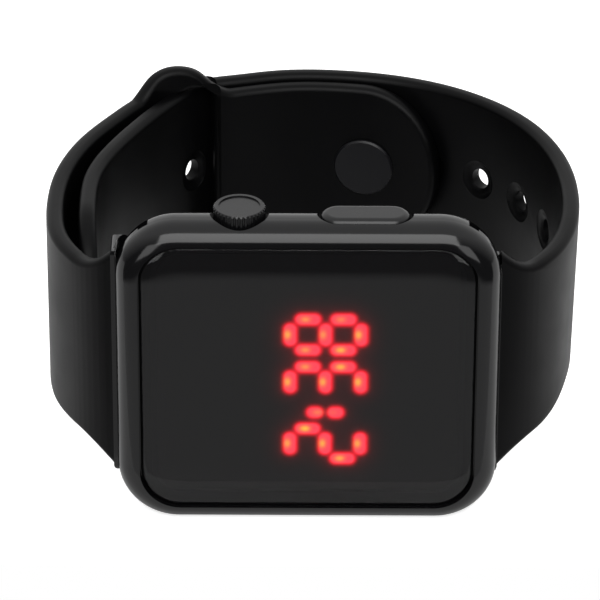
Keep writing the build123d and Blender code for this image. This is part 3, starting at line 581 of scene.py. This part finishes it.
# Pin strap. Its lap lies inside the hole strap, a small gap away, from the slot to the tip.
lapIn = thick + strapPlan["layerGap"]
lapStart = holeStrapPlan["studRun"] + pinStrapPlan["slotRun"]
lapStep = (pinStrapPlan["slotRun"] + pinStrapPlan["tipRun"]) / pinStrapPlan["lapPoints"]
lapSpots = [
    spotOn(holeLine, holeRuns, lapStart - i * lapStep, lapIn)
    for i in range(pinStrapPlan["lapPoints"] + 1)
]
pinLine, pinRuns = lineThrough(pinStrapPlan["line"] + lapSpots)
slotEnd, tipX = lapSpots[0][0], lapSpots[-1][0]


def slotLoop(plan):
    # The slot's outline: large rounds at its start, small ones at its end
    start, end = (runAt(pinLine, pinRuns, x) for x in (slotEnd - plan["slotLength"], slotEnd))
    high, large, small = plan["slotHalf"], plan["slotRound"], plan["slotCorner"]
    largeSteps, smallSteps = plan["slotRoundSteps"], plan["slotCornerSteps"]
    return (
        arcSpots((end - small, high - small), small, 0, 90, smallSteps)
        + arcSpots((start + large, high - large), large, 90, 180, largeSteps)
        + arcSpots((start + large, large - high), large, 180, 270, largeSteps)
        + arcSpots((end - small, small - high), small, 270, 360, smallSteps)
    )


def studSeat(plan):
    # Rings of the stud's seat, from the strap's outer face to the sunk disc
    past, floorY = strapPlan["cutPast"], plan["discSink"] - thick
    shaft, disc = plan["shaftRadius"], plan["discRadius"]
    return [(shaft, past), (shaft, floorY), (disc, floorY), (disc, -thick - past)]


pinHeights = outlineOfPin(pinLine, pinRuns, slotEnd, tipX)
pinStrap = flatOutline([halfLoop(pinHeights), slotLoop(pinStrapPlan)], -1)
studX = spotOn(holeLine, holeRuns, holeStrapPlan["studRun"], lapIn)[0]
cutWith(pinStrap, lathedCutter(studSeat(pinStrapPlan), [runAt(pinLine, pinRuns, studX)]))
splitColumns(pinStrap, pinRuns[-1])
bendAlong(pinStrap, pinLine)
trimRoot(pinStrap, pinStrapPlan["face"], -1)
finishStrap(pinStrap, "pinStrapPiece")
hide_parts("pin_strap")
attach(pinStrap, "strap_loop")
print("stage: straps, flat lengths", round(holeRuns[-1], 2), round(pinRuns[-1], 2))

# Window: a smoked plate whose front falls away towards its edge. Each step of the rim is
# [inset, rise], in millimetres.
windowPlan = {
    "corner": 4.4, "cornerSteps": 20, "gap": 0.22, "smoothAngle": 35,
    "rim": [
        (0.02, 0.012), (0.15, 0.064), (0.15, 0.056), (0.2, 0.066), (0.25, 0.064), (0.3, 0.058),
        (0.35, 0.05), (0.4, 0.042), (0.45, 0.034), (0.5, 0.026), (0.5, 0.014), (0.5, 0.005),
    ],
}


def roundedSheet(grow, plan):
    # The window's outline, larger by grow on each side, left in edit mode
    wide, _, tall = (windowHigh - windowLow) / mm
    bpy.ops.object.select_all(action="DESELECT")
    bpy.ops.mesh.primitive_plane_add(size=1)
    made = bpy.context.object
    made.scale = (wide + 2 * grow, tall + 2 * grow, 1)
    bpy.ops.object.transform_apply(scale=True)
    bpy.ops.object.mode_set(mode="EDIT")
    bpy.ops.mesh.select_all(action="SELECT")
    bpy.ops.mesh.bevel(offset=plan["corner"], segments=plan["cornerSteps"], affect="VERTICES")
    return made


def standInCase(made, y, name):
    # From edit mode: turned to face the front, at its depth in the case
    facesOut()
    bpy.ops.object.mode_set(mode="OBJECT")
    made.rotation_euler = (radians(90), 0, 0)
    made.scale = (mm, mm, mm)
    made.location = (middle.x, y, middle.z)
    made.name = name
    return placeInMesh(made)


def addWindow(plan):
    rise = sum(lift for inset, lift in plan["rim"])
    plate = (windowHigh.y - windowLow.y) / mm - rise
    made = roundedSheet(-plan["gap"], plan)
    bpy.ops.mesh.extrude_region_move(TRANSFORM_OT_translate={"value": (0, 0, plate)})
    for inset, lift in plan["rim"]:
        bpy.ops.mesh.inset(thickness=inset, depth=lift)
    standInCase(made, windowHigh.y, "windowPiece")
    bpy.ops.object.shade_smooth_by_angle(angle=radians(plan["smoothAngle"]))
    dress(made, "window_smoke")
    return made


window = addWindow(windowPlan)
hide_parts("window")
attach(window, "case")

# Tape: a ring under the window's edge that also lines the gap round it
tapePlan = {
    "grow": 0.06, "corner": 4.6, "cornerSteps": 20, "band": 1.25, "thickness": 0.18,
    "under": 0.01,
}


def addTape(plan):
    made = roundedSheet(plan["grow"], plan)
    bpy.ops.mesh.inset(thickness=plan["band"])
    bpy.ops.mesh.delete(type="FACE")
    bpy.ops.mesh.select_all(action="SELECT")
    bpy.ops.mesh.extrude_region_move(
        TRANSFORM_OT_translate={"value": (0, 0, plan["thickness"])}
    )
    depth = windowHigh.y + (plan["thickness"] + plan["under"]) * mm
    standInCase(made, depth, "windowTapePiece")
    dress(made, "tape_black")
    return made


tape = addTape(tapePlan)
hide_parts("window_tape")
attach(tape, "case")

# Glow of the lit bars in the red filter: plain numbers, their tops towards 12 o'clock. Places
# are [across, up] from the window's middle in millimetres, and a bar has a bright core.
glowPlan = {
    "across": 2.03, "reach": 4.02, "halfWidth": 1.98, "step": 0.16,
    "barHalf": 0.72, "barRadius": 0.7, "colonHalf": 0.2,
    # Each digit's place, with the strength of the core of each lit bar
    "digits": [
        (5.07, {"a": 0.8, "b": 0.5, "c": 0.35, "d": 0.85, "e": 0.9, "f": 0.5, "g": 0.5}),
        (-1.1, {"a": 0.8, "b": 0.5, "c": 0.9, "d": 0.9, "g": 0.75}),
        (-9.24, {"a": 0.7, "b": 1.1, "d": 0.75, "e": 0.75, "g": 0.8}),
    ],
    # Each dot's place, with its core's strength and shift
    "colon": [(0.84, -5.12, 0.3, 0.3), (3.22, -5.12, 0.1, -0.3)],
    "coreShift": -0.3, "coreAlong": 0.36, "coreAcross": 0.25,
    "edgeInside": 0.25, "edgeSoft": 0.42, "haze": 0.12, "hazeReach": 0.65,
    "strength": 6.0, "roughness": 0.5, "unlit": (0.004, 0.001, 0.001, 1),
    "ramp": [
        (0.0, (0, 0, 0)), (0.15, (0.1, 0, 0.001)), (0.4, (0.38, 0.001, 0.008)),
        (0.75, (0.8, 0.006, 0.02)), (1.0, (0.95, 0.048, 0.08)),
    ],
    "warm": (0.85, 0.42, 0.05, 1),
}


def barsOf(plan):
    # Every lit bar as (x, z, half length along x, along z, core's strength, core's shift)
    reach, bar = plan["reach"], plan["barHalf"]
    places = {
        "a": (-reach, 0), "g": (0, 0), "d": (reach, 0),
        "f": (-reach / 2, -1), "b": (-reach / 2, 1), "e": (reach / 2, -1), "c": (reach / 2, 1),
    }
    bars = []
    for up, lit in plan["digits"]:
        for letter, core in lit.items():
            x, aside = places[letter]
            long = (bar, 0) if aside else (0, bar)
            spot = plan["across"] + x, up + aside * plan["halfWidth"]
            bars.append((*spot, *long, core, plan["coreShift"]))
    for x, up, core, shift in plan["colon"]:
        bars.append((x, up, plan["colonHalf"], 0, core, shift))
    return bars


def glowAt(x, z, plan):
    # How brightly each spot glows, and how much of it belongs to a bar's core
    dark, core = np.ones(len(x)), np.zeros(len(x))
    for barX, barZ, longX, longZ, strength, shift in barsOf(plan):
        outX = np.maximum(abs(x - barX) - longX, 0)
        outZ = np.maximum(abs(z - barZ) - longZ, 0)
        away = np.hypot(outX, outZ) - plan["barRadius"]
        near = np.maximum(away + plan["edgeInside"], 0)
        edge = np.exp(-(near / plan["edgeSoft"]) ** 2)
        haze = plan["haze"] * np.exp(-near / plan["hazeReach"])
        dark *= 1 - np.minimum(edge + haze, 1)
        spreadX = plan["coreAlong"] if longX else plan["coreAcross"]
        spreadZ = plan["coreAlong"] if longZ else plan["coreAcross"]
        sideX, sideZ = (x - barX - shift) / spreadX, (z - barZ) / spreadZ
        core = np.maximum(core, strength * np.exp(-sideX ** 2 / 2 - sideZ ** 2 / 2))
    return 1 - dark, core


def glowMaterial(plan):
    material, tree = emptyMaterial("display_glow")
    output = shaderNode(tree, "ShaderNodeOutputMaterial", (700, 0))
    surface = shaderNode(tree, "ShaderNodeBsdfPrincipled", (400, 0), {
        "Base Color": plan["unlit"],
        "Roughness": plan["roughness"],
        "Emission Strength": plan["strength"],
    })
    glow = shaderNode(tree, "ShaderNodeAttribute", (-700, 100))
    glow.attribute_name = "glow"
    core = shaderNode(tree, "ShaderNodeAttribute", (-700, -200))
    core.attribute_name = "core"
    ramp = colourRamp(tree, (-400, 150), plan["ramp"])
    warm = shaderNode(tree, "ShaderNodeMixRGB", (0, 0), {"Color2": plan["warm"]})
    tree.links.new(glow.outputs["Fac"], ramp.inputs[0])
    tree.links.new(ramp.outputs["Color"], warm.inputs["Color1"])
    tree.links.new(core.outputs["Fac"], warm.inputs["Fac"])
    tree.links.new(warm.outputs["Color"], surface.inputs["Emission Color"])
    tree.links.new(surface.outputs[0], output.inputs[0])
    return material


def addGlow(plan):
    low, high = (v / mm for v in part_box("display_filter"))
    wide, tall = high.x - low.x, high.z - low.z
    bpy.ops.object.select_all(action="DESELECT")
    bpy.ops.mesh.primitive_grid_add(
        x_subdivisions=int(wide / plan["step"]), y_subdivisions=int(tall / plan["step"]), size=1
    )
    made = bpy.context.object
    made.rotation_euler = (radians(90), 0, 0)
    made.scale = (wide, tall, 1)
    bpy.ops.object.transform_apply(rotation=True, scale=True)
    spots = np.zeros(3 * len(made.data.vertices))
    made.data.vertices.foreach_get("co", spots)
    x, _, z = spots.reshape(-1, 3).T
    for name, values in zip(("glow", "core"), glowAt(x, z, plan)):
        layer = made.data.attributes.new(name, "FLOAT", "POINT")
        layer.data.foreach_set("value", values.astype(np.float32))
    made.scale = (mm, mm, mm)
    made.location = (middle.x, low.y * mm, middle.z)
    made.name = "displayGlow"
    made.data.materials.append(glowMaterial(plan))
    return placeInMesh(made)


glow = addGlow(glowPlan)
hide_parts("display_filter")
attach(glow, "case")
print("stage: window and display,", len(glow.data.polygons), "faces in the glow")

# Springs under the crown and the button, made here at rest, though the real ones give as these
# are pressed. Sizes and travels are in millimetres.
springPlan = {
    "wire": 0.12, "wireSteps": 2, "turns": 3, "steps": 32,
    "springs": {
        "crown_spring": ("crown_push", 0.6),
        "side_button_spring": ("side_button_push", 0.5),
    },
}


def addSpring(name, plan):
    low, high = (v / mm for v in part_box(name))
    wire, count = plan["wire"], plan["turns"] * plan["steps"]
    radius = (high.x - low.x) / 2 - wire
    rise = high.z - low.z - 2 * wire
    turns = [2 * pi * i / plan["steps"] for i in range(count + 1)]
    made = bareCurve("3D")
    addSpline(made.data, [
        (radius * cos(turn), radius * sin(turn), wire + rise * i / count)
        for i, turn in enumerate(turns)
    ])
    made.data.bevel_depth = wire
    made.data.bevel_resolution = plan["wireSteps"]
    made.data.use_fill_caps = True
    bpy.ops.object.convert(target="MESH")
    made = bpy.context.object
    made.scale = (mm, mm, mm)
    anchor = ((low.x + high.x) / 2 * mm, (low.y + high.y) / 2 * mm, low.z * mm)
    made.location = anchor
    placeInMesh(made)
    made.name = name + "Piece"
    dress(made, "spring_steel")
    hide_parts(name)
    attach(made, "case")
    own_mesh(made)


for name, (joint, travel) in springPlan["springs"].items():
    addSpring(name, springPlan)
print("stage: springs")

# Camera, as the photograph shows the watch: distances in millimetres from the window's middle
cameraPlan = {
    "aside": -0.9, "back": 432.9, "above": 250.44, "elevation": 29.0, "roll": 0.24,
    "lens": 264.4, "sensor": 36, "clip": (0.01, 20),
}


def addCamera(plan):
    data = bpy.data.cameras.new("camera")
    data.sensor_width = plan["sensor"]
    data.lens = plan["lens"]
    data.clip_start, data.clip_end = plan["clip"]
    camera = bpy.data.objects.new("camera", data)
    bpy.context.scene.collection.objects.link(camera)
    camera.location = (
        middle.x + plan["aside"] * mm, faceY - plan["back"] * mm, middle.z + plan["above"] * mm
    )
    camera.rotation_mode = "XYZ"
    camera.rotation_euler = (radians(90 - plan["elevation"]), 0, 0)
    camera.rotation_euler.rotate_axis("Z", radians(plan["roll"]))
    bpy.context.scene.camera = camera


addCamera(cameraPlan)
bpy.context.scene.view_settings.view_transform = "Standard"

# World: white to the camera. To the object it is a studio, dim in front, bright behind and
# above, and lit again from below. Levels are grey, and places are shares of a direction.
worldPlan = {
    "front": 0.08, "back": 0.95, "turn": (0.45, 0.8), "tilt": 0.65, "reach": 1.2,
    "below": 0.7, "belowFrom": -0.38, "belowTo": -0.47,
    "studio": 1.0, "white": 1.0,
}


def addWorld(plan):
    world = bpy.data.worlds.new("studio")
    bpy.context.scene.world = world
    world.use_nodes = True
    tree = world.node_tree
    tree.nodes.clear()
    output = shaderNode(tree, "ShaderNodeOutputWorld", (900, 0))
    way = shaderNode(tree, "ShaderNodeTexCoord", (-900, 0))
    parts = shaderNode(tree, "ShaderNodeSeparateXYZ", (-700, 0))
    lean = shaderNode(tree, "ShaderNodeMath", (-500, 0))
    lean.operation = "MULTIPLY_ADD"
    lean.inputs[1].default_value = plan["tilt"]
    shift = shaderNode(
        tree, "ShaderNodeMapRange", (-380, -200),
        {"From Min": -plan["reach"], "From Max": plan["reach"]},
    )
    turnFrom, turnTo = plan["turn"]
    front, back = [plan["front"]] * 3, [plan["back"]] * 3
    ramp = colourRamp(tree, (-250, 0), [(0.0, front), (turnFrom, front), (turnTo, back)])
    drop = shaderNode(
        tree, "ShaderNodeMapRange", (-380, 250),
        {"From Min": plan["belowFrom"], "From Max": plan["belowTo"]},
    )
    under = shaderNode(
        tree, "ShaderNodeMixRGB", (-50, 200), {"Color2": [plan["below"]] * 3 + [1]}
    )
    soft = shaderNode(tree, "ShaderNodeBackground", (100, 0), {"Strength": plan["studio"]})
    white = shaderNode(
        tree, "ShaderNodeBackground", (100, -150),
        {"Color": (1, 1, 1, 1), "Strength": plan["white"]},
    )
    path = shaderNode(tree, "ShaderNodeLightPath", (100, 300))
    mix = shaderNode(tree, "ShaderNodeMixShader", (500, 0))
    tree.links.new(way.outputs["Generated"], parts.inputs[0])
    tree.links.new(parts.outputs["Y"], lean.inputs[0])
    tree.links.new(parts.outputs["Z"], lean.inputs[2])
    tree.links.new(lean.outputs[0], shift.inputs["Value"])
    tree.links.new(shift.outputs["Result"], ramp.inputs[0])
    tree.links.new(parts.outputs["Z"], drop.inputs["Value"])
    tree.links.new(drop.outputs["Result"], under.inputs["Fac"])
    tree.links.new(ramp.outputs["Color"], under.inputs["Color1"])
    tree.links.new(under.outputs["Color"], soft.inputs["Color"])
    tree.links.new(path.outputs["Is Camera Ray"], mix.inputs[0])
    tree.links.new(soft.outputs[0], mix.inputs[1])
    tree.links.new(white.outputs[0], mix.inputs[2])
    tree.links.new(mix.outputs[0], output.inputs[0])


addWorld(worldPlan)

# Floor, in metres: a pale sheet, lifted to white for the camera, which keeps the watch's shadow
floorPlan = {
    "left": -0.6, "right": 0.6, "front": -0.012, "back": 0.9,
    "color": (0.8, 0.8, 0.8, 1), "roughness": 0.9, "lift": 0.7,
}


def floorMaterial(plan):
    material, tree = emptyMaterial("floor_pale")
    output = shaderNode(tree, "ShaderNodeOutputMaterial", (600, 0))
    surface = shaderNode(tree, "ShaderNodeBsdfPrincipled", (200, 0), {
        "Base Color": plan["color"],
        "Roughness": plan["roughness"],
        "Emission Color": (1, 1, 1, 1),
    })
    path = shaderNode(tree, "ShaderNodeLightPath", (-400, -200))
    lift = shaderNode(tree, "ShaderNodeMath", (-100, -200))
    lift.operation = "MULTIPLY"
    lift.inputs[1].default_value = plan["lift"]
    tree.links.new(path.outputs["Is Camera Ray"], lift.inputs[0])
    tree.links.new(lift.outputs[0], surface.inputs["Emission Strength"])
    tree.links.new(surface.outputs[0], output.inputs[0])
    return material


def addFloor(plan):
    left, right, front, back = (plan[side] for side in ("left", "right", "front", "back"))
    bpy.ops.object.select_all(action="DESELECT")
    bpy.ops.mesh.primitive_plane_add(size=1)
    floor = bpy.context.object
    floor.name = "floor"
    floor.scale = (right - left, back - front, 1)
    floor.location = ((left + right) / 2, (front + back) / 2, cadBox[0][2])
    bpy.ops.object.transform_apply(location=True, scale=True)
    floor.data.materials.append(floorMaterial(plan))
    return floor


floor = addFloor(floorPlan)

# Lamps: [turn to the right, elevation, distance, width, height, brightness of its face], in
# degrees and metres
lamps = {
    "softbox_top": (0, 46, 0.6, 0.6, 0.46, 3.8),
    "softbox_left": (-34, 12, 0.6, 0.24, 0.3, 2.2),
    "softbox_right": (34, 12, 0.6, 0.24, 0.3, 2.2),
}


def addSoftbox(name, turn, elevation, distance, width, height, brightness):
    data = bpy.data.lights.new(name, "AREA")
    data.shape = "RECTANGLE"
    data.size = width
    data.size_y = height
    data.energy = brightness * width * height * pi
    light = bpy.data.objects.new(name, data)
    bpy.context.scene.collection.objects.link(light)
    turn, elevation = radians(turn), radians(elevation)
    aim = Vector((0, faceY, caseHigh.z))
    flat = distance * cos(elevation)
    light.location = aim + Vector(
        (flat * sin(turn), -flat * cos(turn), distance * sin(elevation))
    )
    light.rotation_mode = "QUATERNION"
    light.rotation_quaternion = (aim - light.location).to_track_quat("-Z", "Y")


for name, settings in lamps.items():
    addSoftbox(name, *settings)
print("stage: camera, world, floor and lights")
